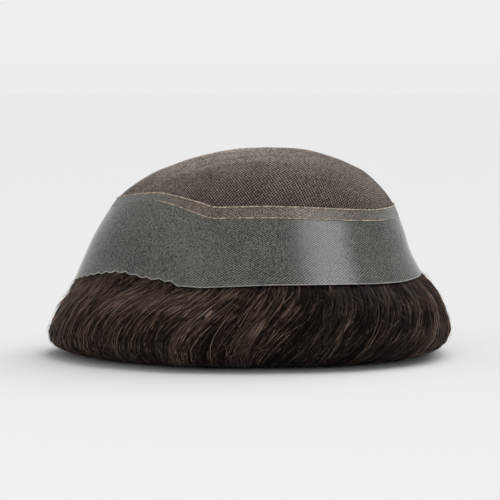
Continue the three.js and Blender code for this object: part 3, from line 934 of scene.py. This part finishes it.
def rollPlace(across, down):
    # the core of the roll: down behind the band's edge, out and round, and up inside
    turn = across * 2 * math.pi
    rim = rimClimb(turn)
    top, neck = climbBelow(turn, rim, -hair["rootLap"]), climbBelow(turn, rim, 0.5 * mm)
    outerDepth = band["wall"] + 0.5 * mm
    lap = hair["lapShare"]
    behind, inner = down < lap, down >= 1 - lap
    start = 2.2 * mm
    part = np.clip((down - lap) / (1 - 2 * lap), 0, 1)
    distance = start + part * (rollTotal - start)
    up = smoothThrough(rollPlaces, rollUp, distance)
    swept = combed(turn, up)
    lock = np.abs(np.sin(swept * hair["lockCount"] / 2 + 0.8 * np.sin(swept * 5)))
    lift = hair["bodyLift"] + hair["lockDepth"] * (lock - 1) * np.clip(part * 5, 0, 1)
    lift = lift * np.clip(up / 0.25, 0.2, 1)
    points = rollPoint(swept, distance, lift)[0]
    points[behind] = underCap(turn, top + (neck - top) * down / lap, np.full(turn.shape, outerDepth))[behind]
    part = np.clip((down - 1 + lap) / lap * 1.3, 0, 1)
    depth = outerDepth + hair["liningDepth"] * np.where(down > 0.999, 0, 1)
    points[inner] = underCap(turn, rim + (top - rim) * part, depth)[inner]
    return points


hairBody = wrapSheet("perimeterHair", 264, 50, rollPlace)
smoothShade(hairBody, 70)
hairBody.data.materials.append(bodyMaterial)
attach(hairBody, "root")
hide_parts("perimeter_hair")
print("hair core made")

locks = bendCopies("hairLocks", [makeStrands(1600, 15, (-1.2 * mm, -0.1 * mm), 3.6 * mm,
                                             (tuckPlace, curlPlace), 3, 0.36, 0.06, 1.0)], sides=4, flat=0.22)
locks.data.materials.append(lockMaterial)
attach(locks, "root")
hairPieces = [locks]

strandLayers = {
    "hairMiddleLayer": dict(count=1700, rings=12, lifts=(-0.8 * mm, 0.0 * mm), width=0.34 * mm,
                            reach=(floorPlace, tuckPlace), seed=5, tone=0.31, spread=0.32, stray=2.0),
    "hairTopLayer": dict(count=1500, rings=14, lifts=(-0.3 * mm, 0.4 * mm), width=0.3 * mm,
                         reach=(floorPlace, tuckPlace), seed=7, tone=0.38, spread=0.32, stray=3.0),
}
for name, settings in strandLayers.items():
    piece = bendCopies(name, [makeStrands(**settings)])
    hairPieces.append(piece)
    piece.data.materials.append(strandMaterial)
    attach(piece, "root")
fuzzLayers = {
    "hairFrizz": dict(count=9800, rings=4, lengths=(9 * mm, 26 * mm), lean=0.17, lifts=(-0.2 * mm, 0.8 * mm),
                      width=0.34 * mm, tone=0.42, seed=11),
    "hairFlyaways": dict(count=5500, rings=4, lengths=(4 * mm, 13 * mm), lean=0.5, lifts=(0.4 * mm, 3.0 * mm),
                         width=0.17 * mm, tone=0.6, seed=9),
}
for name, settings in fuzzLayers.items():
    piece = bendCopies(name, [makeFuzz(**settings)])
    hairPieces.append(piece)
    piece.data.materials.append(strandMaterial)
    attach(piece, "root")


def crownPlace(across, down):
    # the hair behind the base: its outer side down from the top, then its inner side back up
    turn = across * 2 * math.pi
    foot = climbBelow(turn, rimClimb(turn), -hair["rootLap"] - 1 * mm)
    outer = down < 0.5
    part = np.where(outer, down * 2, (1 - down) * 2)
    climb = np.minimum(1 - (1 - foot) * part, 0.9999)
    lock = np.abs(np.sin(turn * 7.5)) * 1.5 * mm * np.minimum(1, 3 * (1 - climb))
    depth = np.where(outer, hair["crownDepth"], hair["crownDepth"] + hair["liningDepth"] + lock)
    points = underCap(turn, climb, depth)
    peak = part < 1e-6
    points[peak] = capPoint(0, 1) - np.array([0, 0, 1]) * depth[peak, None]
    return points


crownHair = wrapSheet("crownHair", 180, 40, crownPlace)
smoothShade(crownHair, 70)
crownHair.data.materials.append(bodyMaterial)
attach(crownHair, "root")
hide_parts("crown_hair")
print("crown hair made")

# Floor, light and camera

bpy.ops.mesh.primitive_plane_add(size=60, location=(0, 0, 0))
floor = bpy.context.object
floor.name = "floor"
floorMaterial, shader = newMaterial("paleFloor")
setShader(shader, Base_Color=(0.774, 0.774, 0.774), Roughness=1.0, Specular_IOR_Level=0.0)
floor.data.materials.append(floorMaterial)

world = bpy.data.worlds.new("studio")
bpy.context.scene.world = world
world.use_nodes = True
direction = addNode(world, "ShaderNodeTexCoord").outputs["Generated"]
height = addNode(world, "ShaderNodeSeparateXYZ", {"Vector": direction}).outputs[2]
seen = addNode(world, "ShaderNodeLightPath").outputs["Is Camera Ray"]
backing = ramp(world, height, [(0.0, (0.842,)), (0.03, (0.863,)), (0.16, (0.863,)), (0.45, (0.5,))])
backdrop = mixColours(world, seen, (0.5, 0.5, 0.5), backing)
link(world, backdrop, world.node_tree.nodes["Background"].inputs["Color"])

light = {
    "sunPower": 2.1,
    "sunSpread": 60.0,  # degrees, very soft
    "filmPower": 9.5,
    "hairPower": 5.5,
    "fillPower": 3.0,
    "leftPower": 1.3,
    "rightPower": 0.78,
}
bpy.ops.object.light_add(type="SUN", location=(0, 0, 2), rotation=(math.radians(-22), math.radians(24), 0))
sun = bpy.context.object
sun.data.energy = light["sunPower"]
sun.data.angle = math.radians(light["sunSpread"])


def softbox(name, azimuth, elevation, away, width, height, power, pieces):
    # a panel whose gloss falls on some pieces only
    azimuth, elevation = math.radians(azimuth), math.radians(elevation)
    place = Vector((math.sin(azimuth) * math.cos(elevation), -math.cos(azimuth) * math.cos(elevation),
                    math.sin(elevation))) * away
    bpy.ops.object.light_add(type="AREA", location=place)
    panel = bpy.context.object
    panel.name = name
    panel.data.shape = "RECTANGLE"
    panel.data.size, panel.data.size_y = width, height
    panel.data.energy = power
    panel.rotation_euler = (-place).to_track_quat("-Z", "Y").to_euler()
    if not pieces:
        panel.visible_glossy = False  # a fill for everything, without a gloss of its own
        return
    panel.visible_diffuse = False
    lit = bpy.data.collections.new(name + "Pieces")
    for piece in pieces:
        lit.objects.link(piece)
    panel.light_linking.receiver_collection = lit


softbox("filmLight", 41, 33, 1.4, 0.64, 1.3, light["filmPower"], (polyBand, rimBead, foldedHem))
softbox("hairLight", -38, 48, 1.2, 0.5, 0.4, light["hairPower"], hairPieces)
softbox("frontFill", -5, 14, 1.6, 1.4, 0.6, light["fillPower"], ())
softbox("leftFill", -78, 9, 1.3, 0.8, 0.4, light["leftPower"], ())
softbox("rightFill", 78, 9, 1.3, 0.8, 0.4, light["rightPower"], ())

aim = Vector((0, 0, 0.0551))
cameraRise = math.radians(4.6)
bpy.ops.object.camera_add(location=aim + Vector((0, -math.cos(cameraRise), math.sin(cameraRise))) * 1.1)
camera = bpy.context.object
camera.data.sensor_width = 36
camera.data.lens = 147.8
camera.rotation_euler = (aim - camera.location).to_track_quat("-Z", "Y").to_euler()
bpy.context.scene.camera = camera
print("lights and camera ready")
